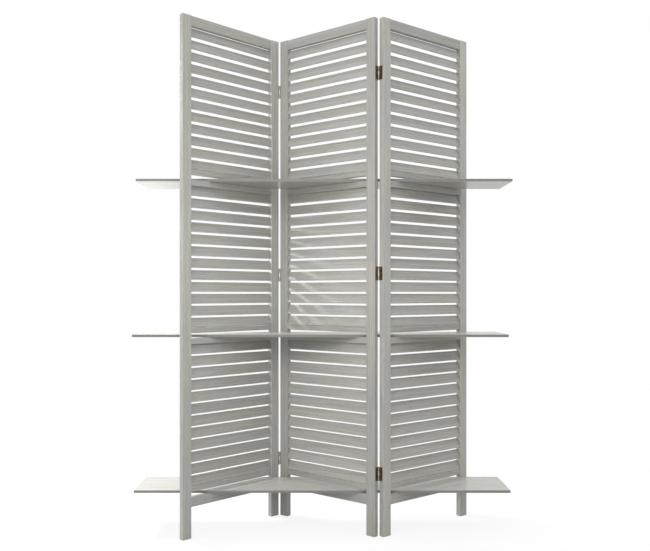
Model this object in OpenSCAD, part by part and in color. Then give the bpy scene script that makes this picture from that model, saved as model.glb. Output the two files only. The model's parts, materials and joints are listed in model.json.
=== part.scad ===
// Folding screen of three louvred panels with three long shelf boards.
// The panels stand in a zigzag, joined by butt hinges at two folds, and the boards
// lie lengthwise through slots in all three panels.
// Each panel has its own frame: X along its width, Y towards its back, Z up from the floor.

/* [Panel frame] */
// Height of a panel, from the floor to its top
panel_h = 1700; // [1500:10:1900]
// Width of a panel over both stiles
panel_w = 402; // [360:1:480]
// Width of a stile, seen from the front
stile_w = 33; // [28:1:40]
// Thickness of a stile, front to back
stile_t = 19; // [18:1:26]
// Length of the legs below the bottom rail
leg_h = 101; // [60:1:160]
// Height of the top rail and of the bottom rail
rail_h = 33; // [28:1:60]
// Thickness of every rail, front to back
rail_t = 16; // [13:1:17]
// Radius of the eased edges of stiles, rails and boards
edge_ease = 1; // [0.5:0.5:2.5]

/* [Louvres] */
// Number of slats in each bay
slat_count = 12; // [8:1:13]
// Width of a slat across its section
slat_w = 34; // [26:1:36]
// Thickness of a slat
slat_t = 5; // [4:0.5:6]
// Lean of a slat from upright, with its top edge to the back
slat_tilt = 19; // [10:1:22]
// Height left free over the highest slat of the top bay
top_head_gap = 2.9; // [0.5:0.1:4]
// Height left free over the highest slat of each lower bay
slat_head_gap = 0.5; // [0.5:0.1:4]
// Height left free under the lowest slat of a bay
slat_foot_gap = 0.5; // [0.5:0.1:4]
// Depth of a slat's end in its stile
slat_tenon = 6; // [4:0.5:9]

/* [Joinery] */
// Length of a rail's tenon
rail_tenon_l = 12; // [8:1:14]
// Thickness of a rail's tenon
rail_tenon_t = 7; // [5:1:9]
// Shoulder above and below a rail's tenon
rail_shoulder = 3; // [2:0.5:5]
// Clearance of each tenon in its mortise, on every side
joint_clear = 0.1; // [0.05:0.05:0.3]

/* [Shelves] */
// Length of a shelf board
shelf_l = 1250; // [1150:10:1400]
// Thickness of a shelf board
shelf_t = 9; // [7:0.5:12]
// Height of the slot that a board passes through
slot_h = 16; // [13:1:22]
// Height of the narrow rail above a slot
shelf_rail_h = 17; // [13:1:24]
// Height of the narrow rail below a slot, which carries the board
under_rail_h = 20; // [13:1:24]
// Clearance between a board's long edges and the nearest stiles
shelf_side_clear = 3.3; // [2:0.1:12]
// Clearance under a board on the floor of its slot
shelf_rest = 0.2; // [0.1:0.1:0.5]
// Lengthwise place of the top board, from the middle panel's centre
top_shelf_x = -10; // [-60:0.5:60]
// Lengthwise place of the middle board, from the middle panel's centre
middle_shelf_x = -22.5; // [-60:0.5:60]
// Lengthwise place of the bottom board, from the middle panel's centre
bottom_shelf_x = -16.5; // [-60:0.5:60]

/* [Hinges] */
// Gap between the stiles of a fold when it is opened flat
fold_gap = 4.5; // [4:0.5:9]
// Distance of the hinge pin in front of the stile's face
pivot_proud = 1.5; // [1.5:0.25:4]
// Height of a hinge
hinge_h = 44; // [36:1:70]
// Width of a leaf on the stile's edge
leaf_w = 14; // [12:0.5:16]
// Thickness of a leaf
leaf_t = 1.2; // [0.8:0.1:1.5]
// Number of knuckles on both leaves together
knuckle_count = 3; // [3:2:7]
// Gap between neighbouring knuckles
knuckle_gap = 0.3; // [0.2:0.05:0.6]
// Running clearance round the other leaf's knuckles
knuckle_clear = 0.25; // [0.15:0.05:0.4]
// Clearance between the barrel and the plane of the stile's edge
barrel_clear = 0.1; // [0.05:0.05:0.4]
// Radius of the hinge pin
pin_r = 1.25; // [1:0.05:1.5]
// Running clearance of the pin in its knuckles
pin_clear = 0.05; // [0.03:0.01:0.1]
// Thickness of the pin's caps
pin_cap_h = 1.2; // [0.8:0.1:2]
// Height of the lower hinges' centre above the floor
low_hinge_z = 204; // [150:1:300]
// Distance of the upper hinges' centre below the panel's top
high_hinge_drop = 180; // [100:1:260]
// Number of screws in a leaf
screw_count = 3; // [2:1:3]
// Length of a screw
screw_l = 12; // [8:1:14]
// Radius of a screw's shank
screw_r = 1.3; // [1:0.1:1.6]
// Clearance round a screw in its leaf and stile
screw_clear = 0.1; // [0.05:0.05:0.2]

/* [Rest pose] */
// Turn of the left panel from the line of the boards
left_turn = 43; // [38:1:55]
// Turn of the middle panel from the line of the boards, the other way
middle_turn = 37; // [34:1:50]
// Turn of the right panel from the line of the boards
right_turn = 37; // [34:1:50]

/* [Hidden] */
$fn = 32;
WOOD = [0.66, 0.66, 0.63];
BRONZE = [0.40, 0.31, 0.21];
SLOTS = [0, 1, 2];
CUT = 1;

inner_x = panel_w / 2 - stile_w;
clear_w = 2 * inner_x;

top_spare = top_head_gap - slat_head_gap;
bay_h = (panel_h - leg_h - 2 * rail_h - 3 * (slot_h + shelf_rail_h) - 2 * under_rail_h - top_spare) / 3;
tier_h = slot_h + shelf_rail_h + bay_h + under_rail_h;
slot_z = [for (i = SLOTS) leg_h + rail_h + i * tier_h];
bay_z = [for (i = SLOTS) slot_z[i] + slot_h + shelf_rail_h];
top_rail_z = panel_h - rail_h;

slat_rise = (slat_w - slat_t) * cos(slat_tilt) + slat_t;
slat_pitch = (bay_h - slat_head_gap - slat_foot_gap - slat_rise) / (slat_count - 1);
slat_l = clear_w + 2 * slat_tenon;

barrel_r = fold_gap / 2 - barrel_clear;
knuckle_pitch = hinge_h / knuckle_count;
hinge_z = [low_hinge_z, (low_hinge_z + panel_h - high_hinge_drop) / 2, panel_h - high_hinge_drop];
screw_head_r = screw_r + leaf_t;
screw_tip_l = 2 * screw_r;
screw_y = pivot_proud + leaf_w / 2;
screw_z = [for (k = [1 : screw_count]) hinge_h * (2 * k - 1) / (2 * screw_count)];

function turned(p, a) = [p[0] * cos(a) - p[1] * sin(a), p[0] * sin(a) + p[1] * cos(a)];

// Fold pivots and panel centres, with the middle panel's centre at zero
pivot_x = panel_w / 2 + fold_gap / 2;
pivot_y = stile_t / 2 + pivot_proud;
left_fold = turned([-pivot_x, -pivot_y], -middle_turn);
right_fold = turned([pivot_x, pivot_y], -middle_turn);
left_c = left_fold - turned([pivot_x, -pivot_y], left_turn);
right_c = right_fold - turned([-pivot_x, pivot_y], right_turn);

// A board runs straight through all three slots, so the stiles that reach furthest
// towards its middle set its front and back edges
function slot_reach(a) = inner_x * sin(a) - stile_t / 2 * cos(a);
shelf_front = max(-slot_reach(middle_turn),
                  left_c[1] - slot_reach(left_turn),
                  right_c[1] - slot_reach(right_turn)) + shelf_side_clear;
shelf_back = min(slot_reach(middle_turn),
                 left_c[1] + slot_reach(left_turn),
                 right_c[1] + slot_reach(right_turn)) - shelf_side_clear;
shelf_d = shelf_back - shelf_front;
shelf_y = (shelf_front + shelf_back) / 2;
shelf_x = [bottom_shelf_x, middle_shelf_x, top_shelf_x];

// The part's origin is on the floor under the middle of its overall box
function stile_corners(c, a) = [
    for (sx = [-1, 1], sy = [-1, 1])
        c[1] + turned([sx * (panel_w / 2 - edge_ease), sy * (stile_t / 2 - edge_ease)], a)[1]
];
corner_y = concat(stile_corners(left_c, left_turn),
                  stile_corners([0, 0], -middle_turn),
                  stile_corners(right_c, right_turn));
centre = [-(min(shelf_x) + max(shelf_x)) / 2, -(min(corner_y) + max(corner_y)) / 2];
echo(centre = centre, left_fold = left_fold + centre, right_fold = right_fold + centre);
echo(shelf_d = shelf_d, shelf_y = shelf_y + centre[1], slot_z = slot_z, slat_pitch = slat_pitch);

// Panels in their places at rest

module on_left_panel() {
    translate([left_c[0] + centre[0], left_c[1] + centre[1], 0]) rotate(left_turn) children();
}

module on_middle_panel() {
    translate([centre[0], centre[1], 0]) rotate(-middle_turn) children();
}

module on_right_panel() {
    translate([right_c[0] + centre[0], right_c[1] + centre[1], 0]) rotate(right_turn) children();
}

// Bars and their sections

module eased_rect(w, t) {
    square([w - 2 * edge_ease, t], center = true);
    square([w, t - 2 * edge_ease], center = true);
    for (x = [-1, 1], y = [-1, 1])
        translate([x * (w / 2 - edge_ease), y * (t / 2 - edge_ease)]) circle(r = edge_ease);
}

// Turns a section in Y and Z into a bar along X, centred on its length
module bar_along_x(l) {
    translate([-l / 2, 0, 0]) rotate([90, 0, 90]) linear_extrude(l) children();
}

// Slats: flat strips with round edges, leaning back

module slat_section(grow) {
    rotate(-slat_tilt) {
        square([slat_t + 2 * grow, slat_w - slat_t], center = true);
        for (v = [-1, 1])
            translate([0, v * (slat_w - slat_t) / 2]) circle(r = slat_t / 2 + grow);
    }
}

module at_slats(bay) {
    for (k = [0 : slat_count - 1])
        translate([0, 0, bay_z[bay] + slat_foot_gap + slat_rise / 2 + k * slat_pitch]) children();
}

module louvres(bay) {
    color(WOOD) at_slats(bay) bar_along_x(slat_l) slat_section(0);
}

// Rails: bars with a tenon at each end

module rail_tenons(h, grow) {
    cube([clear_w + 2 * (rail_tenon_l + grow), rail_tenon_t + 2 * grow, h - 2 * rail_shoulder + 2 * grow],
         center = true);
}

module rail(z, h) {
    color(WOOD) translate([0, 0, z + h / 2]) {
        bar_along_x(clear_w) eased_rect(rail_t, h);
        rail_tenons(h, 0);
    }
}

module top_rail() {
    rail(top_rail_z, rail_h);
}

module bottom_rail() {
    rail(leg_h, rail_h);
}

module rail_over_slot(i) {
    rail(slot_z[i] + slot_h, shelf_rail_h);
}

module rail_under_slot(i) {
    rail(slot_z[i] - under_rail_h, under_rail_h);
}

module shelf_rails(i) {
    rail_over_slot(i);
    rail_under_slot(i);
}

// Stiles: full-height bars with a mortise for each rail and each slat

module rail_mortises() {
    translate([0, 0, top_rail_z + rail_h / 2]) rail_tenons(rail_h, joint_clear);
    translate([0, 0, leg_h + rail_h / 2]) rail_tenons(rail_h, joint_clear);
    for (i = SLOTS)
        translate([0, 0, slot_z[i] + slot_h + shelf_rail_h / 2]) rail_tenons(shelf_rail_h, joint_clear);
    for (i = [1, 2])
        translate([0, 0, slot_z[i] - under_rail_h / 2]) rail_tenons(under_rail_h, joint_clear);
}

module slat_mortises() {
    for (bay = SLOTS)
        at_slats(bay) bar_along_x(slat_l + 2 * joint_clear) slat_section(joint_clear);
}

// side is -1 for the left stile of a panel and 1 for the right
module stile(side) {
    difference() {
        translate([side * (panel_w - stile_w) / 2, 0, 0])
            linear_extrude(panel_h) eased_rect(stile_w, stile_t);
        rail_mortises();
        slat_mortises();
    }
}

// Hinges. A leaf is drawn for a panel that lies towards -X, with its pin at zero and in
// front of the stile; a leaf for a panel that lies towards +X is its mirror image.

module screw_shape(grow) {
    rotate([0, -90, 0]) rotate_extrude()
        polygon([[0, -CUT * sign(grow)],
                 [screw_head_r + grow, -CUT * sign(grow)],
                 [screw_head_r + grow, 0],
                 [screw_r + grow, leaf_t],
                 [screw_r + grow, screw_l - screw_tip_l + grow],
                 [0, screw_l + grow]]);
}

module at_screws() {
    for (z = screw_z)
        translate([leaf_t - fold_gap / 2, screw_y, z - hinge_h / 2]) children();
}

// first is 0 for the leaf with the end knuckles and 1 for the leaf between them
module leaf(first) {
    own = [first : 2 : knuckle_count - 1];
    other = [1 - first : 2 : knuckle_count - 1];
    color(BRONZE) difference() {
        union() {
            translate([-fold_gap / 2, 0, -hinge_h / 2]) cube([leaf_t, pivot_proud + leaf_w, hinge_h]);
            for (k = own)
                translate([0, 0, k * knuckle_pitch + knuckle_gap / 2 - hinge_h / 2])
                    cylinder(r = barrel_r, h = knuckle_pitch - knuckle_gap);
        }
        for (k = other)
            translate([0, 0, k * knuckle_pitch - knuckle_gap / 2 - hinge_h / 2])
                cylinder(r = barrel_r + knuckle_clear, h = knuckle_pitch + knuckle_gap);
        cylinder(r = pin_r + pin_clear, h = hinge_h + 2 * CUT, center = true);
        at_screws() screw_shape(screw_clear);
    }
}

module pin() {
    cap_z = hinge_h / 2;
    bevel = pin_cap_h / 3;
    color(BRONZE) rotate_extrude()
        polygon([[0, -cap_z - pin_cap_h],
                 [barrel_r - bevel, -cap_z - pin_cap_h],
                 [barrel_r, -cap_z - pin_cap_h + bevel],
                 [barrel_r, -cap_z],
                 [pin_r, -cap_z],
                 [pin_r, cap_z],
                 [barrel_r, cap_z],
                 [barrel_r, cap_z + pin_cap_h - bevel],
                 [barrel_r - bevel, cap_z + pin_cap_h],
                 [0, cap_z + pin_cap_h]]);
}

// Places a hinge piece at a fold, in the frame of one of its two panels.
// The left fold has its pins in front of the panels, the right fold behind them.

module at_left_fold_of_left(z) {
    translate([pivot_x, -pivot_y, z]) children();
}

module at_left_fold_of_middle(z) {
    translate([-pivot_x, -pivot_y, z]) mirror([1, 0, 0]) children();
}

module at_right_fold_of_middle(z) {
    translate([pivot_x, pivot_y, z]) rotate(180) mirror([1, 0, 0]) children();
}

module at_right_fold_of_right(z) {
    translate([-pivot_x, pivot_y, z]) rotate(180) children();
}

// Left panel

module left_panel_outer_stile() {
    color(WOOD) on_left_panel() stile(-1);
}

module left_panel_fold_stile() {
    color(WOOD) on_left_panel() difference() {
        stile(1);
        for (z = hinge_z) at_left_fold_of_left(z) at_screws() screw_shape(screw_clear);
    }
}

module left_panel_top_rail() {
    color(WOOD) on_left_panel() top_rail();
}

module left_panel_bottom_rail() {
    color(WOOD) on_left_panel() bottom_rail();
}

module left_panel_top_shelf_rails() {
    color(WOOD) on_left_panel() shelf_rails(2);
}

module left_panel_middle_shelf_rails() {
    color(WOOD) on_left_panel() shelf_rails(1);
}

module left_panel_bottom_shelf_rail() {
    color(WOOD) on_left_panel() rail_over_slot(0);
}

module left_panel_top_louvres() {
    color(WOOD) on_left_panel() louvres(2);
}

module left_panel_middle_louvres() {
    color(WOOD) on_left_panel() louvres(1);
}

module left_panel_bottom_louvres() {
    color(WOOD) on_left_panel() louvres(0);
}

// Middle panel

module middle_panel_left_stile() {
    color(WOOD) on_middle_panel() difference() {
        stile(-1);
        for (z = hinge_z) at_left_fold_of_middle(z) at_screws() screw_shape(screw_clear);
    }
}

module middle_panel_right_stile() {
    color(WOOD) on_middle_panel() difference() {
        stile(1);
        for (z = hinge_z) at_right_fold_of_middle(z) at_screws() screw_shape(screw_clear);
    }
}

module middle_panel_top_rail() {
    color(WOOD) on_middle_panel() top_rail();
}

module middle_panel_bottom_rail() {
    color(WOOD) on_middle_panel() bottom_rail();
}

module middle_panel_top_shelf_rails() {
    color(WOOD) on_middle_panel() shelf_rails(2);
}

module middle_panel_middle_shelf_rails() {
    color(WOOD) on_middle_panel() shelf_rails(1);
}

module middle_panel_bottom_shelf_rail() {
    color(WOOD) on_middle_panel() rail_over_slot(0);
}

module middle_panel_top_louvres() {
    color(WOOD) on_middle_panel() louvres(2);
}

module middle_panel_middle_louvres() {
    color(WOOD) on_middle_panel() louvres(1);
}

module middle_panel_bottom_louvres() {
    color(WOOD) on_middle_panel() louvres(0);
}

// Right panel

module right_panel_fold_stile() {
    color(WOOD) on_right_panel() difference() {
        stile(-1);
        for (z = hinge_z) at_right_fold_of_right(z) at_screws() screw_shape(screw_clear);
    }
}

module right_panel_outer_stile() {
    color(WOOD) on_right_panel() stile(1);
}

module right_panel_top_rail() {
    color(WOOD) on_right_panel() top_rail();
}

module right_panel_bottom_rail() {
    color(WOOD) on_right_panel() bottom_rail();
}

module right_panel_top_shelf_rails() {
    color(WOOD) on_right_panel() shelf_rails(2);
}

module right_panel_middle_shelf_rails() {
    color(WOOD) on_right_panel() shelf_rails(1);
}

module right_panel_bottom_shelf_rail() {
    color(WOOD) on_right_panel() rail_over_slot(0);
}

module right_panel_top_louvres() {
    color(WOOD) on_right_panel() louvres(2);
}

module right_panel_middle_louvres() {
    color(WOOD) on_right_panel() louvres(1);
}

module right_panel_bottom_louvres() {
    color(WOOD) on_right_panel() louvres(0);
}

// Hinges of the left fold, n counting from the floor. The outer leaf is on the left
// panel; the inner leaf and the pin are on the middle panel.

module left_fold_outer_leaf(n) {
    color(BRONZE) on_left_panel() at_left_fold_of_left(hinge_z[n]) leaf(1);
}

module left_fold_inner_leaf(n) {
    color(BRONZE) on_middle_panel() at_left_fold_of_middle(hinge_z[n]) leaf(0);
}

module left_fold_pin(n) {
    color(BRONZE) on_middle_panel() at_left_fold_of_middle(hinge_z[n]) pin();
}

// Hinges of the right fold, with the outer leaf on the right panel

module right_fold_outer_leaf(n) {
    color(BRONZE) on_right_panel() at_right_fold_of_right(hinge_z[n]) leaf(1);
}

module right_fold_inner_leaf(n) {
    color(BRONZE) on_middle_panel() at_right_fold_of_middle(hinge_z[n]) leaf(0);
}

module right_fold_pin(n) {
    color(BRONZE) on_middle_panel() at_right_fold_of_middle(hinge_z[n]) pin();
}

// Screws of all the leaves on one stile

module left_panel_hinge_screws() {
    color(BRONZE) on_left_panel()
        for (z = hinge_z) at_left_fold_of_left(z) at_screws() screw_shape(0);
}

module middle_panel_left_hinge_screws() {
    color(BRONZE) on_middle_panel()
        for (z = hinge_z) at_left_fold_of_middle(z) at_screws() screw_shape(0);
}

module middle_panel_right_hinge_screws() {
    color(BRONZE) on_middle_panel()
        for (z = hinge_z) at_right_fold_of_middle(z) at_screws() screw_shape(0);
}

module right_panel_hinge_screws() {
    color(BRONZE) on_right_panel()
        for (z = hinge_z) at_right_fold_of_right(z) at_screws() screw_shape(0);
}

// Shelf boards, i counting from the floor

module shelf(i) {
    color(WOOD) translate([shelf_x[i] + centre[0], shelf_y + centre[1], slot_z[i] + shelf_rest + shelf_t / 2])
        bar_along_x(shelf_l) eased_rect(shelf_d, shelf_t);
}

left_panel_outer_stile();
left_panel_fold_stile();
left_panel_top_rail();
left_panel_bottom_rail();
left_panel_top_shelf_rails();
left_panel_middle_shelf_rails();
left_panel_bottom_shelf_rail();
left_panel_top_louvres();
left_panel_middle_louvres();
left_panel_bottom_louvres();
middle_panel_left_stile();
middle_panel_right_stile();
middle_panel_top_rail();
middle_panel_bottom_rail();
middle_panel_top_shelf_rails();
middle_panel_middle_shelf_rails();
middle_panel_bottom_shelf_rail();
middle_panel_top_louvres();
middle_panel_middle_louvres();
middle_panel_bottom_louvres();
right_panel_fold_stile();
right_panel_outer_stile();
right_panel_top_rail();
right_panel_bottom_rail();
right_panel_top_shelf_rails();
right_panel_middle_shelf_rails();
right_panel_bottom_shelf_rail();
right_panel_top_louvres();
right_panel_middle_louvres();
right_panel_bottom_louvres();
left_fold_outer_leaf(0);  // left_fold_low_outer_leaf
left_fold_inner_leaf(0);  // left_fold_low_inner_leaf
left_fold_pin(0);  // left_fold_low_pin
left_fold_outer_leaf(1);  // left_fold_middle_outer_leaf
left_fold_inner_leaf(1);  // left_fold_middle_inner_leaf
left_fold_pin(1);  // left_fold_middle_pin
left_fold_outer_leaf(2);  // left_fold_high_outer_leaf
left_fold_inner_leaf(2);  // left_fold_high_inner_leaf
left_fold_pin(2);  // left_fold_high_pin
right_fold_outer_leaf(0);  // right_fold_low_outer_leaf
right_fold_inner_leaf(0);  // right_fold_low_inner_leaf
right_fold_pin(0);  // right_fold_low_pin
right_fold_outer_leaf(1);  // right_fold_middle_outer_leaf
right_fold_inner_leaf(1);  // right_fold_middle_inner_leaf
right_fold_pin(1);  // right_fold_middle_pin
right_fold_outer_leaf(2);  // right_fold_high_outer_leaf
right_fold_inner_leaf(2);  // right_fold_high_inner_leaf
right_fold_pin(2);  // right_fold_high_pin
left_panel_hinge_screws();
middle_panel_left_hinge_screws();
middle_panel_right_hinge_screws();
right_panel_hinge_screws();
shelf(2);  // top_shelf
shelf(1);  // middle_shelf
shelf(0);  // bottom_shelf
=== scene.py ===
# %% [markdown]
# A grey-washed folding screen
# Three louvred panels stand in a zigzag, with three long boards lying through them. The packed
# model already holds every piece at its real size, so this script gives it its looks: the wood
# and its grey wash, the darkened hinges, and a plain studio. Nothing that the model holds is moved.

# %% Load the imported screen
import json
import math

import bpy
import numpy as np
from mathutils import Matrix, Vector

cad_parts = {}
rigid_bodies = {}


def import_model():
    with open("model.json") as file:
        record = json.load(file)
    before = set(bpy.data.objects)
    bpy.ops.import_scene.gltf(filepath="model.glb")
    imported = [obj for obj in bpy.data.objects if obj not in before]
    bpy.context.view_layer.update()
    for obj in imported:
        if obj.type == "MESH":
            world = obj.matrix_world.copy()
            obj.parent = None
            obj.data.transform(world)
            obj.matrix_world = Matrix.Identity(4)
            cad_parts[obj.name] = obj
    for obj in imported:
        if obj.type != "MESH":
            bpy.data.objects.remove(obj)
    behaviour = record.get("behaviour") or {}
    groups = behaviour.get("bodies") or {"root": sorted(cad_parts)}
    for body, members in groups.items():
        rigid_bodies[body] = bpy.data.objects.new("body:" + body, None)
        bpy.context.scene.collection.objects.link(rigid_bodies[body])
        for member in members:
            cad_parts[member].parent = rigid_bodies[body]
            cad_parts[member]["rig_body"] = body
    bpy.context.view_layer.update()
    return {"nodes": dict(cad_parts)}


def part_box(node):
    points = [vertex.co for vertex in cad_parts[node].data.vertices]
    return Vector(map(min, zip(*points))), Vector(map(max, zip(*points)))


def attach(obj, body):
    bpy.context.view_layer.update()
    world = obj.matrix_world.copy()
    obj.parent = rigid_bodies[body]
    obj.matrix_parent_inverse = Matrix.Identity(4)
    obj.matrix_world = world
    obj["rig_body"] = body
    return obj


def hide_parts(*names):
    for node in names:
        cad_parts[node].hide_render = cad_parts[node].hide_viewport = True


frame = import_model()

# %% [markdown]
# Where each panel stands
# Grain runs along every piece of wood, so each material has to know which way its piece lies.
# The turn of a panel could be typed in, but it is safer to measure it: the line between the
# middles of a panel's two stiles gives the panel's centre and its turn about the vertical.

# %% Measure the panels
STILES = {
    "left_panel": ("left_panel_outer_stile", "left_panel_fold_stile"),
    "middle_panel": ("middle_panel_left_stile", "middle_panel_right_stile"),
    "right_panel": ("right_panel_fold_stile", "right_panel_outer_stile"),
}


def middle_of(node):
    low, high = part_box(node)
    return (low + high) / 2


def panel_place(panel):
    """The panel's centre on the floor and its turn, from its two stiles."""
    first, second = (middle_of(node) for node in STILES[panel])
    along = second - first
    centre = (first + second) / 2
    return Vector((centre.x, centre.y, 0)), math.atan2(along.y, along.x)


PLACES = {panel: panel_place(panel) for panel in STILES}
for panel, (centre, turn) in PLACES.items():
    print(panel, "centre", [round(v, 4) for v in centre], "turn", round(math.degrees(turn), 2))

# %% [markdown]
# The camera
# The picture was taken level, from a little under half the height of the screen. A level camera
# keeps the stiles exactly upright, and the frame was then shifted up a little to hold the whole
# screen. The same thing is done here with the lens shift, because tilting the camera instead
# would make the stiles lean towards each other.

# %% Set up the camera
IMAGE_WIDTH = 650
FOCAL_PIXELS = 725
SENSOR_MM = 36
AXIS_LEFT_PIXELS = 7
AXIS_DOWN_PIXELS = 17.55
EYE = Vector((-0.0141, -2.4788, 0.7975))

camera_data = bpy.data.cameras.new("studio_camera")
camera_data.sensor_width = SENSOR_MM
camera_data.lens = FOCAL_PIXELS / IMAGE_WIDTH * SENSOR_MM
camera_data.shift_x = AXIS_LEFT_PIXELS / IMAGE_WIDTH
camera_data.shift_y = AXIS_DOWN_PIXELS / IMAGE_WIDTH
camera = bpy.data.objects.new("studio_camera", camera_data)
camera.location = EYE
camera.rotation_euler = (math.radians(90), 0, 0)
bpy.context.collection.objects.link(camera)
bpy.context.scene.camera = camera
print("lens", round(camera_data.lens, 2), "mm")
print("shift", round(camera_data.shift_x, 4), round(camera_data.shift_y, 4))

# %% [markdown]
# Small helpers for shader trees
# A shader tree is a set of boxes joined by wires. Placing each box by hand in code is long, so
# these helpers make one box, wire or set what goes into it, and hand back what comes out of it.
# A value that is a socket gets a wire, and a plain number or colour is set on the socket.

# %% Helpers for shader trees
def plug(tree, value, socket):
    if isinstance(value, bpy.types.NodeSocket):
        tree.links.new(value, socket)
    else:
        socket.default_value = value


def box_of(tree, kind, **settings):
    made = tree.nodes.new(kind)
    for name, value in settings.items():
        setattr(made, name, value)
    return made


def calc(tree, operation, *values):
    made = box_of(tree, "ShaderNodeMath", operation=operation)
    for value, socket in zip(values, made.inputs):
        plug(tree, value, socket)
    return made.outputs[0]


def calc_vector(tree, operation, *values):
    made = box_of(tree, "ShaderNodeVectorMath", operation=operation)
    for value, socket in zip(values, made.inputs):
        plug(tree, value, socket)
    return made.outputs["Value" if operation == "LENGTH" else "Vector"]


def noise(tree, vector, stretch, detail=2.0, roughness=0.5):
    """Noise whose features are 1 / stretch long in each direction, about 0.5 in the middle."""
    made = box_of(tree, "ShaderNodeTexNoise")
    plug(tree, calc_vector(tree, "MULTIPLY", vector, stretch), made.inputs["Vector"])
    made.inputs["Scale"].default_value = 1.0
    made.inputs["Detail"].default_value = detail
    made.inputs["Roughness"].default_value = roughness
    return made.outputs["Fac"]


def smooth_step(tree, value, low, high, to_low=0.0, to_high=1.0):
    """Goes from to_low to to_high as the value goes from low to high. Most noise is 0.3 to 0.7."""
    made = box_of(tree, "ShaderNodeMapRange", interpolation_type="SMOOTHSTEP")
    for name, given in (("Value", value), ("From Min", low), ("From Max", high),
                        ("To Min", to_low), ("To Max", to_high)):
        plug(tree, given, made.inputs[name])
    return made.outputs["Result"]


def mix_colours(tree, factor, first, second, blend="MIX"):
    made = box_of(tree, "ShaderNodeMix", data_type="RGBA", blend_type=blend)
    plug(tree, factor, made.inputs["Factor"])
    plug(tree, first, made.inputs["A"])
    plug(tree, second, made.inputs["B"])
    return made.outputs["Result"]


def shader_group(name, inputs, outputs):
    """An empty node group with named sockets, and its input and output boxes."""
    group = bpy.data.node_groups.new(name, "ShaderNodeTree")
    for label, kind in inputs:
        group.interface.new_socket(label, in_out="INPUT", socket_type=kind)
    for label, kind in outputs:
        group.interface.new_socket(label, in_out="OUTPUT", socket_type=kind)
    return group, group.nodes.new("NodeGroupInput"), group.nodes.new("NodeGroupOutput")


NUMBER, VECTOR, COLOUR = "NodeSocketFloat", "NodeSocketVector", "NodeSocketColor"
print("helpers ready")

# %% [markdown]
# Piece numbers
# All twelve slats of a bay are one object, yet the real slats are strips of their own, and each
# takes the wash a little differently. The height of a point, divided by the distance from slat to
# slat and rounded down, numbers the slats, and white noise turns that number into a random one.
# The same trick tells two stiles apart by their place along the panel, and the boards by height.

# %% Group that numbers the pieces
def build_piece_number():
    group, given, gives = shader_group(
        "piece_number", [("Place", NUMBER), ("Start", NUMBER), ("Pitch", NUMBER), ("Seed", NUMBER)],
        [("Number", NUMBER)])
    from_start = calc(group, "SUBTRACT", given.outputs["Place"], given.outputs["Start"])
    count = calc(group, "FLOOR", calc(group, "DIVIDE", from_start, given.outputs["Pitch"]))
    white = box_of(group, "ShaderNodeTexWhiteNoise", noise_dimensions="2D")
    pair = box_of(group, "ShaderNodeCombineXYZ")
    plug(group, calc(group, "ADD", count, 0.5), pair.inputs["X"])
    plug(group, given.outputs["Seed"], pair.inputs["Y"])
    plug(group, pair.outputs[0], white.inputs["Vector"])
    plug(group, white.outputs["Value"], gives.inputs["Number"])
    return group


PIECE_NUMBER = build_piece_number()
print("group", PIECE_NUMBER.name)

# %% [markdown]
# Wood grain
# The grain is built in the piece's own directions, with X along the grain. Fine fibres and
# broader streaks are noise that is stretched long along X. The growth rings are circles round a
# heart that lies outside the piece, as in a plank sawn from a trunk: on a flat face they run as
# lines and arches, and on an end they show as arcs, without a second texture. The pores of the
# light wood are short dark dashes.

# %% Sizes of the grain
# How many features there are to a metre: along the grain, across it and through the piece
FIBRE_STRETCH = (35, 1000, 1000)
STREAK_STRETCH = (4.5, 150, 150)
TINT_STRETCH = (3.5, 22, 22)
PORE_STRETCH = (70, 1300, 1300)
WARP_STRETCH = (2.4, 10, 10)

# In metres, except for the taper, which is in metres to a metre of length
RING_SPACING = 0.0085
RING_TAPER = 0.016
RING_WARP = 0.022
HEART = (0.0, 0.052, 0.038)
HEART_SWAY = 0.09
PIECES_APART = (3.1, 1.7, 2.3)

# How far each part of the grain stands up or is sunk, in shares of the bump's height
FIBRE_RELIEF, STREAK_RELIEF, RING_RELIEF, PORE_RELIEF = 0.6, 0.6, 0.35, 0.8
print("rings", RING_SPACING * 1000, "mm apart, round a heart at", HEART)

# %% [markdown]
# How the grain is put together
# A piece's number moves the pattern to another place in the wood, so no two pieces repeat it. The
# rings come from the distance to the heart. Divided by the ring spacing, it leaves a fraction that
# grows slowly through each ring and falls sharply at the ring's end, as late wood does. The group
# hands out every part of the grain by itself, because the wash takes to each in its own way.

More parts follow.
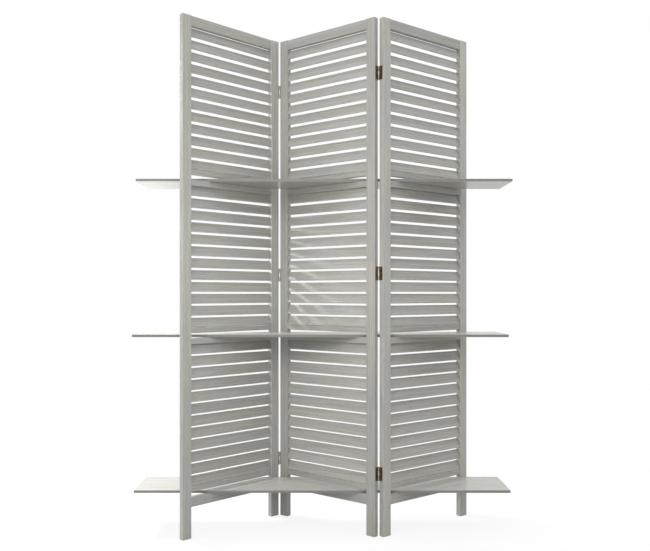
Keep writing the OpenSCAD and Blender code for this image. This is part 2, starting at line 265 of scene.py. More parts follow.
# %% Group for the grain of the wood
def build_wood_grain():
    group, given, gives = shader_group(
        "wood_grain", [("Vector", VECTOR), ("Number", NUMBER)],
        [("Fibre", NUMBER), ("Streaks", NUMBER), ("Rings", NUMBER), ("Pores", NUMBER),
         ("Tint", NUMBER), ("Relief", NUMBER)])
    number = given.outputs["Number"]
    away = calc_vector(group, "SCALE", PIECES_APART)
    plug(group, number, away.node.inputs["Scale"])
    place = calc_vector(group, "ADD", given.outputs["Vector"], away)

    fibre = noise(group, place, FIBRE_STRETCH, detail=2)
    streaks = noise(group, place, STREAK_STRETCH, detail=4, roughness=0.62)
    tint = noise(group, place, TINT_STRETCH, detail=2)
    pores = smooth_step(group, noise(group, place, PORE_STRETCH, detail=1), 0.62, 0.72)

    # The heart moves with the piece's number, so no two pieces show the same arches
    sway = calc(group, "MULTIPLY", calc(group, "SUBTRACT", number, 0.5), HEART_SWAY)
    sideways = box_of(group, "ShaderNodeCombineXYZ")
    plug(group, sway, sideways.inputs["Y"])
    swayed = calc_vector(group, "ADD", given.outputs["Vector"], sideways.outputs[0])
    from_heart = calc_vector(group, "SUBTRACT", swayed, HEART)
    across = calc_vector(group, "MULTIPLY", from_heart, (0, 1, 1))
    split = box_of(group, "ShaderNodeSeparateXYZ")
    plug(group, place, split.inputs[0])
    warp = calc(group, "MULTIPLY", noise(group, place, WARP_STRETCH, detail=2), RING_WARP)
    taper = calc(group, "MULTIPLY", split.outputs["X"], RING_TAPER)
    bend = calc(group, "ADD", warp, taper)
    radius = calc(group, "ADD", calc_vector(group, "LENGTH", across), bend)
    phase = calc(group, "FRACT", calc(group, "DIVIDE", radius, RING_SPACING))
    rise = smooth_step(group, phase, 0.1, 0.82)
    fall = smooth_step(group, phase, 0.86, 1.0, 1.0, 0.0)
    rings = calc(group, "MULTIPLY", rise, fall)

    # Fibres, streaks and rings stand up, and pores are sunk
    relief = calc(group, "MULTIPLY", fibre, FIBRE_RELIEF)
    relief = calc(group, "ADD", relief, calc(group, "MULTIPLY", streaks, STREAK_RELIEF))
    relief = calc(group, "ADD", relief, calc(group, "MULTIPLY", rings, RING_RELIEF))
    relief = calc(group, "SUBTRACT", relief, calc(group, "MULTIPLY", pores, PORE_RELIEF))
    for label, value in (("Fibre", fibre), ("Streaks", streaks), ("Rings", rings), ("Pores", pores),
                         ("Tint", tint), ("Relief", relief)):
        plug(group, value, gives.inputs[label])
    return group


WOOD_GRAIN = build_wood_grain()
print("group", WOOD_GRAIN.name, "with", len(WOOD_GRAIN.nodes), "boxes")

# %% [markdown]
# Rubbed edges, cut ends and dust
# Hands and cloths rub the wash thin along the eased edges, cut ends drink more of it, and dust
# settles on what faces up. A baked curvature map could find the edges, but the eased edges are
# real roundings here, so the direction that a face looks in is enough: where it looks along none
# of the piece's own three directions, it is an edge.

# %% Group that finds edges, ends and upward faces
WEAR_STRETCH = (45, 60, 60)
DUST_STRETCH = (14, 16, 16)


def build_faces_found():
    group, given, gives = shader_group(
        "faces_found", [("Own Normal", VECTOR), ("Vector", VECTOR)],
        [("Edge", NUMBER), ("End", NUMBER), ("Side", NUMBER), ("Dust", NUMBER)])
    own = box_of(group, "ShaderNodeSeparateXYZ")
    plug(group, calc_vector(group, "ABSOLUTE", given.outputs["Own Normal"]), own.inputs[0])
    most = calc(group, "MAXIMUM", own.outputs[0], calc(group, "MAXIMUM", own.outputs[1], own.outputs[2]))
    patchy = smooth_step(group, noise(group, given.outputs["Vector"], WEAR_STRETCH, detail=3), 0.36, 0.62)
    edge = calc(group, "MULTIPLY", smooth_step(group, most, 0.9, 0.995, 1.0, 0.0), patchy)
    world = box_of(group, "ShaderNodeSeparateXYZ")
    plug(group, box_of(group, "ShaderNodeNewGeometry").outputs["Normal"], world.inputs[0])
    lying = smooth_step(group, world.outputs["Z"], 0.55, 0.95)
    settled = noise(group, given.outputs["Vector"], DUST_STRETCH, detail=4, roughness=0.7)
    spread = smooth_step(group, settled, 0.25, 0.75, 0.55, 1.0)
    plug(group, edge, gives.inputs["Edge"])
    plug(group, smooth_step(group, own.outputs["X"], 0.8, 0.97), gives.inputs["End"])
    plug(group, smooth_step(group, own.outputs["Y"], 0.8, 0.97), gives.inputs["Side"])
    plug(group, calc(group, "MULTIPLY", lying, spread), gives.inputs["Dust"])
    return group


FACES_FOUND = build_faces_found()
print("group", FACES_FOUND.name, "with", len(FACES_FOUND.nodes), "boxes")

# %% [markdown]
# The grey wash
# The finish looks like a thin grey wash, wiped over light wood. It stays cool where it is thick,
# lets the wood's yellow through where it is thin, and gathers dark in pores and streaks. The late
# wood at the end of each ring shows through as a darker line. So the colour starts as a mix of a
# cool and a warm grey and is then darkened by the grain and lightened by wear and dust, each by a
# share of its own.

# %% Colours and shares of the wash
COOL_WASH = (0.445, 0.444, 0.426, 1)
WARM_WASH = (0.451, 0.441, 0.394, 1)
DARK_GRAIN = (0.56, 0.56, 0.53, 1)
BARE_EDGE = (0.60, 0.585, 0.53, 1)
CUT_END = (0.150, 0.148, 0.132, 1)
DUST = (0.64, 0.635, 0.61, 1)

# How much of the darker or paler colour each effect mixes in, where it is strongest
STREAK_SHARE, RING_SHARE, FIBRE_SHARE, PORE_SHARE = 0.34, 0.22, 0.2, 0.45
EDGE_SHARE, END_SHARE, DUST_SHARE = 0.55, 0.75, 0.3
PIECE_SPREAD = 0.09

# How rough the wood is from its palest streaks to its darkest, and what changes that
STREAK_ROUGHNESS = (0.50, 0.62)
DUST_DULLS, RUBBING_SMOOTHS = 0.16, 0.1
print("wash", COOL_WASH[:3], "to", WARM_WASH[:3])

# %% [markdown]
# How the wash is put together
# What darkens the wash in the grain is multiplied with it, so that the wash's own colour stays
# underneath. Wear, cut ends and dust each mix in a colour of their own, because they take the wash
# off or lie on top of it. Dust also dulls the wood, and rubbed edges and polish smooth it.

# %% Group for the grey wash
def build_grey_wash():
    group, given, gives = shader_group(
        "grey_wash",
        [("Number", NUMBER), ("Fibre", NUMBER), ("Streaks", NUMBER), ("Rings", NUMBER), ("Pores", NUMBER),
         ("Tint", NUMBER), ("Edge", NUMBER), ("End", NUMBER), ("Dust", NUMBER), ("Shade", NUMBER),
         ("Polish", NUMBER)],
        [("Color", COLOUR), ("Roughness", NUMBER)])
    warm = smooth_step(group, given.outputs["Tint"], 0.36, 0.66)
    wash = mix_colours(group, warm, COOL_WASH, WARM_WASH)
    streak = smooth_step(group, given.outputs["Streaks"], 0.35, 0.68, 0.0, STREAK_SHARE)
    wash = mix_colours(group, streak, wash, DARK_GRAIN, "MULTIPLY")
    ring = calc(group, "MULTIPLY", given.outputs["Rings"], RING_SHARE)
    wash = mix_colours(group, ring, wash, DARK_GRAIN, "MULTIPLY")
    fibre = smooth_step(group, given.outputs["Fibre"], 0.4, 0.7, 0.0, FIBRE_SHARE)
    wash = mix_colours(group, fibre, wash, DARK_GRAIN, "MULTIPLY")
    pore = calc(group, "MULTIPLY", given.outputs["Pores"], PORE_SHARE)
    wash = mix_colours(group, pore, wash, DARK_GRAIN, "MULTIPLY")
    tone = calc(group, "MULTIPLY", given.outputs["Number"], PIECE_SPREAD)
    tone = calc(group, "ADD", tone, 1 - PIECE_SPREAD / 2)
    # Shade scales the tone; for stiles and slats it also holds painted light and shade per panel
    tone = calc(group, "MULTIPLY", tone, given.outputs["Shade"])
    scaled = calc_vector(group, "SCALE", wash)
    plug(group, tone, scaled.node.inputs["Scale"])
    worn = mix_colours(group, calc(group, "MULTIPLY", given.outputs["Edge"], EDGE_SHARE), scaled, BARE_EDGE)
    ended = mix_colours(group, calc(group, "MULTIPLY", given.outputs["End"], END_SHARE), worn, CUT_END)
    dusty = mix_colours(group, calc(group, "MULTIPLY", given.outputs["Dust"], DUST_SHARE), ended, DUST)
    rough = smooth_step(group, given.outputs["Streaks"], 0.3, 0.7, *STREAK_ROUGHNESS)
    rough = calc(group, "ADD", rough, calc(group, "MULTIPLY", given.outputs["Dust"], DUST_DULLS))
    rough = calc(group, "SUBTRACT", rough, calc(group, "MULTIPLY", given.outputs["Edge"], RUBBING_SMOOTHS))
    rough = calc(group, "SUBTRACT", rough, given.outputs["Polish"])
    plug(group, dusty, gives.inputs["Color"])
    plug(group, rough, gives.inputs["Roughness"])
    return group


GREY_WASH = build_grey_wash()
print("group", GREY_WASH.name, "with", len(GREY_WASH.nodes), "boxes")

# %% [markdown]
# One recipe for all the wood
# Stiles, rails, slats and boards share the recipe and differ mostly in how they lie. A Mapping box
# turns the screen's coordinates into the piece's own, with X along the grain, Y across its face
# and Z through its thickness, and a second one turns the normals the same way.

# %% Ways that a piece can lie
ALONG_HEIGHT = Matrix(((0, 0, 1), (1, 0, 0), (0, 1, 0)))
ALONG_WIDTH = Matrix(((1, 0, 0), (0, 0, 1), (0, 1, 0)))
ALONG_BOARD = Matrix(((1, 0, 0), (0, 1, 0), (0, 0, 1)))


def own_directions(tree, source, matrix, origin, kind):
    made = box_of(tree, "ShaderNodeMapping", vector_type=kind)
    made.inputs["Rotation"].default_value = matrix.to_euler("XYZ")
    if kind == "POINT":
        made.inputs["Location"].default_value = -(matrix @ origin)
    plug(tree, source, made.inputs["Vector"])
    return made.outputs["Vector"]


def group_box(tree, group, **values):
    made = box_of(tree, "ShaderNodeGroup", node_tree=group)
    for name, value in values.items():
        plug(tree, value, made.inputs[name.replace("_", " ").title()])
    return made.outputs


def proper_turn(matrix):
    """A swap of two directions mirrors the pattern, which a Mapping box can't do, so Z is flipped."""
    return matrix if matrix.determinant() > 0 else Matrix.Diagonal((1, 1, -1)) @ matrix


print("a stile's own directions:", [list(row) for row in ALONG_HEIGHT])

# %% [markdown]
# The material itself
# The groups only hand out colours, a roughness and a height, and the shader that uses them stays
# in the material. The relief goes in through a Bump box, because it is too fine to be modelled.
# Slats are told apart by their height, so the recipe is also told along which of the piece's own
# directions to count, from where, and how far it is from one piece to the next.

# %% Recipe for a washed wood
GRAIN_RELIEF_M, GRAIN_BUMP = 0.0004, 0.5
WOOD_GLOSS = 0.4


def washed_wood(name, lie, turn, centre, seed, number_along, start, pitch, lean=0.0, dark_sides=0.0,
                shade=1.0, polish=0.0):
    """Wood for pieces that lie as the matrix lie says, in a panel with that turn and centre.

    A piece gets its number by its place along number_along: a new one each pitch from start on.
    """
    material = bpy.data.materials.new(name)
    material.use_nodes = True
    tree = material.node_tree
    shader = tree.nodes["Principled BSDF"]
    to_panel = Matrix.Rotation(-turn, 3, "Z")
    own = proper_turn(lie @ to_panel)
    leaning = Matrix.Rotation(lean, 3, "X") @ own
    place = own_directions(tree, box_of(tree, "ShaderNodeTexCoord").outputs["Object"], own, centre, "POINT")
    normal = own_directions(tree, box_of(tree, "ShaderNodeNewGeometry").outputs["Normal"],
                            leaning, centre, "VECTOR")
    split = box_of(tree, "ShaderNodeSeparateXYZ")
    plug(tree, place, split.inputs[0])
    number = group_box(tree, PIECE_NUMBER, place=split.outputs[number_along], start=start, pitch=pitch,
                       seed=seed)["Number"]
    grain = group_box(tree, WOOD_GRAIN, vector=place, number=number)
    faces = group_box(tree, FACES_FOUND, own_normal=normal, vector=place)
    end = faces["End"]
    # With dark_sides, the long sides are darkened with the end colour too
    if dark_sides:
        end = calc(tree, "MAXIMUM", end, calc(tree, "MULTIPLY", faces["Side"], dark_sides))
    wash = group_box(tree, GREY_WASH, number=number, fibre=grain["Fibre"], streaks=grain["Streaks"],
                     rings=grain["Rings"], pores=grain["Pores"], tint=grain["Tint"],
                     edge=faces["Edge"], end=end, dust=faces["Dust"], shade=shade, polish=polish)
    bump = box_of(tree, "ShaderNodeBump")
    bump.inputs["Strength"].default_value = GRAIN_BUMP
    bump.inputs["Distance"].default_value = GRAIN_RELIEF_M
    plug(tree, grain["Relief"], bump.inputs["Height"])
    plug(tree, wash["Color"], shader.inputs["Base Color"])
    plug(tree, wash["Roughness"], shader.inputs["Roughness"])
    plug(tree, bump.outputs["Normal"], shader.inputs["Normal"])
    shader.inputs["Specular IOR Level"].default_value = WOOD_GLOSS
    return material


def dress(nodes, material):
    for node in nodes:
        for material_slot in frame["nodes"][node].material_slots:
            material_slot.material = material


print("recipe ready")

# %% [markdown]
# Stiles, rails and slats
# The stiles have their grain along the height, and the rails and slats along the panel's width.
# A slat leans back, so its normals are also turned by its lean before the edges are looked for.
# The middle panel faces the other way from the other two and takes the light differently, so its
# slats are painted a little paler and its stiles a little darker than the others': painted light
# and shade, given as each panel's own shade.

# %% Facts of the panels
SLATS_IN_BAY = 12
SLAT_LEAN = math.radians(19)
SLAT_HEIGHT, SLAT_THICKNESS = 0.034, 0.005
# Per panel, these shades hold painted light and shade: the middle panel's paler slats and darker stiles
STILE_SHADE_WITH_PAINTED_LIGHT = {"left_panel": 1.12, "middle_panel": 1.03, "right_panel": 1.12}
SLAT_SHADE_WITH_PAINTED_LIGHT = {"left_panel": 0.96, "middle_panel": 1.03, "right_panel": 0.97}
RAIL_SHADE = 0.97
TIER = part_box("middle_shelf")[0].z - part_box("bottom_shelf")[0].z
BOTTOM_SLOT = middle_of("bottom_shelf").z


def slat_pitch(node):
    """The place of the lowest slat's foot, and the distance from slat to slat."""
    low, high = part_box(node)
    slat_rise = SLAT_HEIGHT * math.cos(SLAT_LEAN) + SLAT_THICKNESS * (1 - math.cos(SLAT_LEAN))
    pitch = (high.z - low.z - slat_rise) / (SLATS_IN_BAY - 1)
    return low.z - (pitch - slat_rise) / 2, pitch


print("one tier of the screen is", round(TIER * 1000, 1), "mm high")

# %% [markdown]
# One wood for each kind of piece
# The two stiles of a panel lie at equal distances from its middle, so counting in whole metres
# from there tells them apart. The rails are counted by tiers, each from the height of one board to
# the next, and the slats by their own pitch. The seed keeps the numbers of one kind of piece apart
# from another's, and of one panel from the next.

# %% Dress the panels
STILE_SEED, RAIL_SEED, SLAT_SEED, BOARD_SEED = 0.5, 3.5, 6.5, 20.5

for seed, (panel, (centre, turn)) in enumerate(PLACES.items()):
    names = [n for n in frame["nodes"] if n.startswith(panel)]
    stile_wood = washed_wood(panel + "_stile_wood", ALONG_HEIGHT, turn, centre, seed + STILE_SEED,
                             "Y", 0.0, 1.0, shade=STILE_SHADE_WITH_PAINTED_LIGHT[panel])
    rail_wood = washed_wood(panel + "_rail_wood", ALONG_WIDTH, turn, centre, seed + RAIL_SEED,
                            "Y", BOTTOM_SLOT, TIER, shade=RAIL_SHADE)
    dress([n for n in names if n.endswith("_stile")], stile_wood)
    dress([n for n in names if n.endswith(("_rail", "_rails"))], rail_wood)
    for tier, bay in enumerate(("bottom", "middle", "top")):
        node = f"{panel}_{bay}_louvres"
        start, pitch = slat_pitch(node)
        slat_wood = washed_wood(f"{panel}_{bay}_slat_wood", ALONG_WIDTH, turn, centre,
                                seed * 3 + tier + SLAT_SEED, "Y", start, pitch, lean=SLAT_LEAN,
                                shade=SLAT_SHADE_WITH_PAINTED_LIGHT[panel])
        dress([node], slat_wood)
    print(panel, "dressed, slat pitch", round(pitch * 1000, 2), "mm")

# %% [markdown]
# The boards
# The boards lie flat, so their rings run as broad arches along them. Their long edges are given the
# end colour, so they come out much darker than their faces. Their faces shine a little
# where one looks along them, as if waxed, which suits boards that things stand on. A coat over the
# wood shows that, where a lower roughness would make the wash itself look wet.

# %% Dress the boards
WAX_SHARE, WAX_ROUGHNESS, WAX_IOR = 0.65, 0.2, 1.45

board_wood = washed_wood("board_wood", ALONG_BOARD, 0.0, Vector((0, 0, 0)), BOARD_SEED, "Z", 0.0, TIER,
                         dark_sides=1.0, polish=0.1)
board_shader = board_wood.node_tree.nodes["Principled BSDF"]
board_shader.inputs["Coat Weight"].default_value = WAX_SHARE
board_shader.inputs["Coat Roughness"].default_value = WAX_ROUGHNESS
board_shader.inputs["Coat IOR"].default_value = WAX_IOR
dress(["bottom_shelf", "middle_shelf", "top_shelf"], board_wood)
print("boards dressed")

# %% [markdown]
# Darkened hinges
# The hinges are brass, darkened to an antique brown. The patina is blotchy, and it wears off first
# on the barrels, which rub on each other and on passing hands, so they show paler, bare metal.
# The barrels are also painted paler than wear alone would leave them, as a painted highlight on
# their round faces. The barrels could get a material of their own, but they are one piece with
# their leaves. So the worn and highlit part is found by its distance from the pivot that it turns on.

# %% Group for the darkened bronze
DARK_BRONZE = (0.110, 0.085, 0.060, 1)
BROWN_BRONZE = (0.240, 0.190, 0.135, 1)
# Pale bare metal: wear, and on the barrels also a painted highlight
WORN_BRONZE_AND_HIGHLIGHT = (0.800, 0.740, 0.640, 1)
BLOTCH_STRETCH = (160, 160, 160)
SPECK_STRETCH = (900, 900, 900)
BRONZE_ROUGHNESS = (0.30, 0.46)
SPECK_RELIEF = 0.5
pin_low, pin_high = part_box("left_fold_low_pin")
BARREL_RADIUS = (pin_high.x - pin_low.x) / 2


def build_bronze_patina():
    group, given, gives = shader_group(
        "bronze_patina", [("Vector", VECTOR), ("Wear", NUMBER)],
        [("Color", COLOUR), ("Roughness", NUMBER), ("Relief", NUMBER)])
    blotch = noise(group, given.outputs["Vector"], BLOTCH_STRETCH, detail=4, roughness=0.6)
    speck = noise(group, given.outputs["Vector"], SPECK_STRETCH, detail=3, roughness=0.6)
    base = mix_colours(group, smooth_step(group, blotch, 0.35, 0.66), DARK_BRONZE, BROWN_BRONZE)
    # The pale mix is wear, and on the barrels also a painted highlight
    rubbed = smooth_step(group, calc(group, "ADD", speck, given.outputs["Wear"]), 0.62, 0.95)
    plug(group, mix_colours(group, rubbed, base, WORN_BRONZE_AND_HIGHLIGHT), gives.inputs["Color"])
    plug(group, smooth_step(group, blotch, 0.3, 0.7, *BRONZE_ROUGHNESS), gives.inputs["Roughness"])
    relief = calc(group, "ADD", blotch, calc(group, "MULTIPLY", speck, SPECK_RELIEF))
    plug(group, relief, gives.inputs["Relief"])
    return group


BRONZE_PATINA = build_bronze_patina()
print("group", BRONZE_PATINA.name, "with", len(BRONZE_PATINA.nodes), "boxes")
print("barrel radius, mm:", round(BARREL_RADIUS * 1000, 2))

# %% [markdown]
# Worn barrels with a painted highlight
# Every point of a barrel lies within its radius of the pivot's line, which is upright. So the
# distance to the nearer of the two pivots, seen from above, tells a barrel from the flat part of
# its leaf. The outer leaf's barrel, at mid height, gets more of the pale mix than the inner leaf's
# two: a painted highlight on top of the wear. Pins and screws are rubbed a little all over.

# %% Recipe for the darkened bronze
PIVOTS = [middle_of(fold + "_fold_low_pin") for fold in ("left", "right")]
PATINA_RELIEF_M, PATINA_BUMP = 0.0001, 0.25
BARREL_EDGE, LEAF_START = BARREL_RADIUS * 1.02, BARREL_RADIUS * 1.2


def on_barrel(tree, place):
    """1 on the barrels, 0 on the leaves, from the distance to the nearer pivot."""
    flat = calc_vector(tree, "MULTIPLY", place, (1, 1, 0))
    away = [calc_vector(tree, "LENGTH", calc_vector(tree, "SUBTRACT", flat, (pivot.x, pivot.y, 0)))
            for pivot in PIVOTS]
    nearer = calc(tree, "MINIMUM", away[0], away[1])
    return smooth_step(tree, nearer, BARREL_EDGE, LEAF_START, 1.0, 0.0)


def darkened_bronze(name, wear, barrel_wear_and_highlight=0.0):
    material = bpy.data.materials.new(name)
    material.use_nodes = True
    tree = material.node_tree
    shader = tree.nodes["Principled BSDF"]
    place = box_of(tree, "ShaderNodeTexCoord").outputs["Object"]
    # On the barrels this mask holds wear and a painted highlight
    worn = calc(tree, "MULTIPLY", on_barrel(tree, place), barrel_wear_and_highlight)
    patina = group_box(tree, BRONZE_PATINA, vector=place, wear=calc(tree, "ADD", worn, wear))
    bump = box_of(tree, "ShaderNodeBump")
    bump.inputs["Strength"].default_value = PATINA_BUMP
    bump.inputs["Distance"].default_value = PATINA_RELIEF_M
    plug(tree, patina["Relief"], bump.inputs["Height"])
    plug(tree, patina["Color"], shader.inputs["Base Color"])
    plug(tree, patina["Roughness"], shader.inputs["Roughness"])
    plug(tree, bump.outputs["Normal"], shader.inputs["Normal"])
    shader.inputs["Metallic"].default_value = 1.0
    return material


print("pivots at", [[round(v, 4) for v in pivot.xy] for pivot in PIVOTS])

# %% Dress the hinges
LEAF_WEAR, PIN_WEAR, SCREW_WEAR = 0.02, 0.16, 0.20
# Barrel paleness: part wear, part painted highlight, most on the outer barrel
INNER_BARREL_WEAR_AND_HIGHLIGHT, OUTER_BARREL_WEAR_AND_HIGHLIGHT = 0.26, 0.42

inner_bronze = darkened_bronze("inner_leaf_bronze", LEAF_WEAR, barrel_wear_and_highlight=INNER_BARREL_WEAR_AND_HIGHLIGHT)
outer_bronze = darkened_bronze("outer_leaf_bronze", LEAF_WEAR, barrel_wear_and_highlight=OUTER_BARREL_WEAR_AND_HIGHLIGHT)
pin_bronze = darkened_bronze("pin_bronze", PIN_WEAR)
screw_bronze = darkened_bronze("screw_bronze", SCREW_WEAR)
dress([n for n in frame["nodes"] if n.endswith("_inner_leaf")], inner_bronze)
dress([n for n in frame["nodes"] if n.endswith("_outer_leaf")], outer_bronze)
dress([n for n in frame["nodes"] if n.endswith("_pin")], pin_bronze)
print("hinges dressed")

# %% [markdown]
# Countersunk screws
# Each leaf is held by three screws whose heads sink flush into it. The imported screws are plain
# cones and rods, and what one looks for on a screw is the cross in its head. So one screw is
# modelled here: a cylinder is the shank, its ends are pulled out to a cone head and to a tip, and
# a tapered cross is cut out of the head. All 36 screws are copies of it.

# %% Model the screw
HEAD_RADIUS, SHANK_RADIUS = 0.0025, 0.0013
HEAD_DEPTH, SCREW_LENGTH, TIP_LENGTH = 0.0012, 0.012, 0.0026
RIM_SHARE, RIM_TAPER, TIP_TAPER = 0.08, 0.985, 0.12
SCREW_SIDES = 24

# A face looks in a direction when its normal has more than this share of it
LOOKS_THAT_WAY = 0.9


def deselect():
    bpy.ops.object.select_all(action="DESELECT")


def pick_faces(piece, chosen):
    """In edit mode, selects the faces that chosen(middle, normal) says yes to."""
    bpy.ops.mesh.select_mode(type="FACE")
    bpy.ops.mesh.select_all(action="DESELECT")
    bpy.ops.object.mode_set(mode="OBJECT")
    for face in piece.data.polygons:
        face.select = bool(chosen(face.center, face.normal))
    bpy.ops.object.mode_set(mode="EDIT")


def pull_faces(move, size=1.0):
    """Extrudes the selected faces by move, then scales them about the screw's own line."""
    bpy.ops.mesh.extrude_region_move(TRANSFORM_OT_translate={"value": move})
    bpy.ops.transform.resize(value=(size, size, 1), center_override=(0, 0, 0))


deselect()
straight = SCREW_LENGTH - HEAD_DEPTH - TIP_LENGTH
bpy.ops.mesh.primitive_cylinder_add(vertices=SCREW_SIDES, radius=SHANK_RADIUS, depth=straight,
                                    location=(0, 0, -HEAD_DEPTH - straight / 2))
screw = bpy.context.object
screw.name = "screw"
bpy.ops.object.transform_apply(location=True, rotation=True, scale=True)
bpy.ops.object.mode_set(mode="EDIT")
pick_faces(screw, lambda middle, normal: normal.z > LOOKS_THAT_WAY)
pull_faces((0, 0, HEAD_DEPTH * (1 - RIM_SHARE)), HEAD_RADIUS / SHANK_RADIUS)
pull_faces((0, 0, HEAD_DEPTH * RIM_SHARE), RIM_TAPER)
pick_faces(screw, lambda middle, normal: normal.z < -LOOKS_THAT_WAY)
pull_faces((0, 0, -TIP_LENGTH), TIP_TAPER)
bpy.ops.object.mode_set(mode="OBJECT")
print("screw", [round(v * 1000, 2) for v in screw.dimensions], "mm")

# %% [markdown]
# The cross in the head
# A cube is the middle of the cross, and its four sides are pulled out to the arms. Its underside is
# made smaller, so the cross tapers downwards as the tip of a screwdriver does. A Boolean modifier
# then takes it away from the head, and the cross itself is removed.

# %% Model the cross
CROSS_WIDTH, CROSS_REACH, CROSS_DEPTH = 0.0006, 0.0014, 0.0011
CROSS_TAPER = 0.4

deselect()
bpy.ops.mesh.primitive_cube_add(size=1, location=(0, 0, 0))
cross = bpy.context.object
cross.name = "cross"
cross.scale = (CROSS_WIDTH, CROSS_WIDTH, 2 * CROSS_DEPTH)
bpy.ops.object.transform_apply(location=True, rotation=True, scale=True)
bpy.ops.object.mode_set(mode="EDIT")
for side in (Vector((1, 0, 0)), Vector((0, 1, 0)), Vector((-1, 0, 0)), Vector((0, -1, 0))):
    pick_faces(cross, lambda middle, normal: (normal.dot(side) > LOOKS_THAT_WAY
                                              and middle.length < CROSS_WIDTH))
    pull_faces(side * (CROSS_REACH - CROSS_WIDTH / 2))
pick_faces(cross, lambda middle, normal: normal.z < -LOOKS_THAT_WAY)
bpy.ops.transform.resize(value=(CROSS_TAPER, CROSS_TAPER, 1), center_override=(0, 0, 0))
bpy.ops.mesh.select_all(action="SELECT")
bpy.ops.mesh.normals_make_consistent(inside=False)
bpy.ops.object.mode_set(mode="OBJECT")
print("cross", [round(v * 1000, 2) for v in cross.dimensions], "mm")

# %% Cut it into the head
SHARPEST_SMOOTH = math.radians(35)

deselect()
screw.select_set(True)
bpy.context.view_layer.objects.active = screw
cut = screw.modifiers.new("cross_cut", "BOOLEAN")
cut.operation, cut.solver, cut.object = "DIFFERENCE", "EXACT", cross
bpy.ops.object.modifier_apply(modifier=cut.name)
bpy.ops.object.shade_smooth_by_angle(angle=SHARPEST_SMOOTH)
bpy.data.objects.remove(cross)
print("screw with its cross:", len(screw.data.polygons), "faces")

# %% [markdown]
# Where the screws go
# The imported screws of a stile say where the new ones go. Their heights fall into groups with gaps
# between them, one group for each screw, and the end that reaches furthest from the panel's middle
# is the face of the heads.

# %% Find the screws' places
SCREWS_APART = 0.003


def screw_heads(node):
    """The middles of a stile's screw heads, and the way that they look."""
    centre, turn = PLACES[frame["nodes"][node]["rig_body"]]
    along = Vector((math.cos(turn), math.sin(turn), 0))
    if (middle_of(node) - centre).dot(along) < 0:
        along = -along
    across = Vector((-along.y, along.x, 0))
    points = np.array([v.co for v in frame["nodes"][node].data.vertices])
    reach, sides = (points @ along).max(), points @ across
    heights = np.unique(points[:, 2])
    breaks = np.flatnonzero(np.diff(heights) > SCREWS_APART)
    lows, highs = heights[np.r_[0, breaks + 1]], heights[np.r_[breaks, len(heights) - 1]]
    level = along * reach + across * (sides.min() + sides.max()) / 2
    return [level + Vector((0, 0, z)) for z in (lows + highs) / 2], along


left_heads, left_way = screw_heads("left_panel_hinge_screws")
print(len(left_heads), "screws in the left panel, that look along", [round(v, 3) for v in left_way])

# %% [markdown]
# Setting the screws
# A fitter leaves each cross at another turn, so every copy is rolled about its own line before it
# is turned to the stile's edge and moved to its place. The copies of a stile become one object,
# which rides on the panel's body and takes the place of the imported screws.

# %% Set the screws
FIRST_ROLL, ROLL_STEP = math.radians(11), math.radians(37)


def set_screws(node, name):
    heads, outward = screw_heads(node)
    aim = outward.to_track_quat("Z", "Y").to_matrix().to_4x4()
    deselect()
    for count, head in enumerate(heads):
        copy = bpy.data.objects.new(name, screw.data.copy())
        roll = Matrix.Rotation(FIRST_ROLL + count * ROLL_STEP, 4, "Z")
        copy.data.transform(Matrix.Translation(head) @ aim @ roll)
        bpy.context.collection.objects.link(copy)
        copy.select_set(True)
    bpy.context.view_layer.objects.active = copy
    bpy.ops.object.join()
    screws = bpy.context.object
    screws.name = name
    screws.data.materials.clear()
    screws.data.materials.append(screw_bronze)
    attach(screws, frame["nodes"][node]["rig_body"])
    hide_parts(node)
    print(name, len(heads), "screws,", len(screws.data.polygons), "faces")


for node in [n for n in frame["nodes"] if n.endswith("_hinge_screws")]:
    set_screws(node, node.replace("hinge_screws", "cross_screws"))
bpy.data.objects.remove(screw)

# %% [markdown]
# A plain pale floor
# The screen stands on white paper. Close to it the paper is partly an ordinary matt surface that
# takes a faint, soft shadow, and further off it fades into the pure white of the backdrop, so that
# no edge or horizon shows. Light that bounces off the paper is kept low, or the screen would be lit
# from below.

# %% Lay the floor
FLOOR_HALF = 12.0
SHADOW_REACH = (0.7, 1.8)
NEAR_WHITE = 0.85
PAPER = (0.93, 0.93, 0.93, 1)
PAPER_BOUNCE = (0.55, 0.55, 0.55, 1)
WHITE = (1, 1, 1, 1)


def seen_directly(tree):
    """1 for rays from the camera and for what gloss and glass show, 0 for light that bounces."""
    path = box_of(tree, "ShaderNodeLightPath")
    glossy = calc(tree, "MAXIMUM", path.outputs["Is Glossy Ray"], path.outputs["Is Transmission Ray"])
    return calc(tree, "MAXIMUM", path.outputs["Is Camera Ray"], glossy)


def mix_shaders(tree, factor, first, second):
    made = box_of(tree, "ShaderNodeMixShader")
    plug(tree, factor, made.inputs[0])
    tree.links.new(first, made.inputs[1])
    tree.links.new(second, made.inputs[2])
    return made.outputs[0]


def paper_material():
    material = bpy.data.materials.new("white_paper")
    material.use_nodes = True
    tree = material.node_tree
    tree.nodes.clear()
    near = box_of(tree, "ShaderNodeBsdfDiffuse")
    near.inputs["Color"].default_value = PAPER
    bounce = box_of(tree, "ShaderNodeBsdfDiffuse")
    bounce.inputs["Color"].default_value = PAPER_BOUNCE
    far = box_of(tree, "ShaderNodeEmission")
    far.inputs["Color"].default_value = WHITE
    place = box_of(tree, "ShaderNodeTexCoord").outputs["Object"]
    distance = calc_vector(tree, "LENGTH", place)
    white_share = smooth_step(tree, distance, *SHADOW_REACH, to_low=NEAR_WHITE)
    seen = mix_shaders(tree, white_share, near.outputs[0], far.outputs[0])
    whole = mix_shaders(tree, seen_directly(tree), bounce.outputs[0], seen)
    out = box_of(tree, "ShaderNodeOutputMaterial")
    tree.links.new(whole, out.inputs["Surface"])
    return material


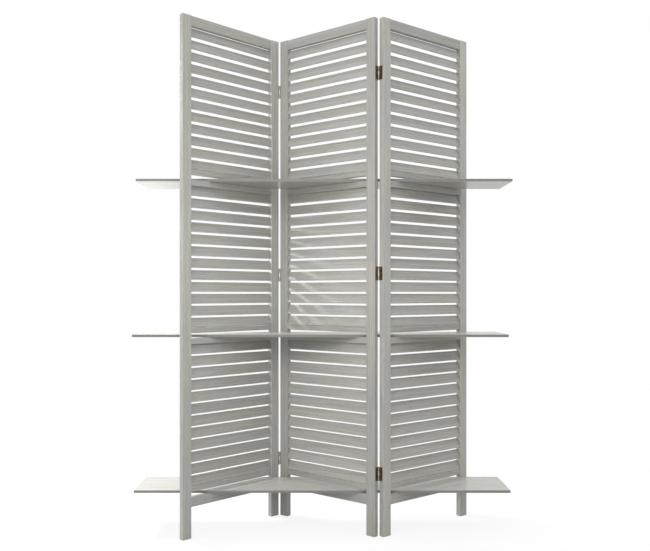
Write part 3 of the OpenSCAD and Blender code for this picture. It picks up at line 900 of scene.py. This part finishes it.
deselect()
bpy.ops.mesh.primitive_plane_add(size=2 * FLOOR_HALF, location=(0, 0, 0))
floor = bpy.context.object
floor.name = "paper_floor"
floor.data.materials.append(paper_material())
print("floor", 2 * FLOOR_HALF, "m square")

# %% [markdown]
# Soft studio light
# A white room gives most of the light, and the lamps only shape it. One high behind on the left
# makes the boards' left ends pale, and its beam is narrowed so that the panels get less of it.
# Wide, weak softboxes overhead, at the front and on both sides tell the panels apart, and two
# smaller ones face the middle panel. A small lamp stands in for a white card that throws light up
# under the top board's left end, and a tiny one behind the left panel shines through its slats and
# throws faint streaks on the middle one. It stays weak, because a stronger one made the back of the
# left panel plain white.

# %% Hang the lamps
def softbox(name, place, target, size, watts, beam=180):
    """A lamp of that size in metres, turned to the target, whose beam is that many degrees wide."""
    data = bpy.data.lights.new(name, "AREA")
    data.spread = math.radians(beam)
    data.shape = "RECTANGLE"
    data.size, data.size_y = size
    data.energy = watts
    lamp = bpy.data.objects.new(name, data)
    lamp.location = place
    lamp.rotation_euler = (Vector(target) - Vector(place)).to_track_quat("-Z", "Y").to_euler()
    lamp.visible_camera = False
    bpy.context.collection.objects.link(lamp)
    print(name, "at", place, watts, "W")


softbox("high_lamp", (-1.5, 0.78, 1.9), (-0.6, 0, 0.14), (0.5, 0.5), 18.5, beam=112)
softbox("overhead_softbox", (0.0, -0.4, 3.2), (0, 0, 0.9), (2.0, 2.0), 12)
softbox("right_softbox", (2.6, 0.3, 2.2), (0.3, 0, 0.5), (1.0, 1.0), 7.5)
softbox("front_softbox", (0.0, -3.4, 1.6), (0, 0, 0.9), (2.0, 2.0), 5)
softbox("left_softbox", (-2.2, -2.6, 2.1), (0, 0, 0.9), (1.8, 1.8), 11)
softbox("fold_lamp", (-0.15, -0.7, 0.95), (-0.15, 0.1, 0.95), (0.3, 0.3), 1.1)
softbox("panel_lamp", (-1.2, -1.3, 1.45), (-0.1, 0, 1.3), (0.6, 0.6), 3.2)
softbox("fan_lamp", (-1.004, 0.049, 1.103), (-0.090, 0.373, 0.856), (0.03, 0.03), 1.0, beam=53)
softbox("board_lamp", (-0.72, 0.02, 0.72), (-0.66, 0.02, 1.168), (0.15, 0.15), 0.9, beam=90)

# %% [markdown]
# The white room
# The room is the world's own light. What lights the screen is a little weaker than what the camera
# sees, so that the backdrop is pure white while the wood keeps its colour.

# %% Paint the room white
ROOM_LIGHT = 0.84

world = bpy.data.worlds.new("white_room")
bpy.context.scene.world = world
world.use_nodes = True
tree = world.node_tree
tree.nodes.clear()
room = box_of(tree, "ShaderNodeBackground")
room.inputs["Color"].default_value = WHITE
room.inputs["Strength"].default_value = ROOM_LIGHT
backdrop = box_of(tree, "ShaderNodeBackground")
backdrop.inputs["Color"].default_value = WHITE
out = box_of(tree, "ShaderNodeOutputWorld")
tree.links.new(mix_shaders(tree, seen_directly(tree), room.outputs[0], backdrop.outputs[0]),
               out.inputs["Surface"])
bpy.context.scene.view_settings.view_transform = "Standard"
print("room light", ROOM_LIGHT)
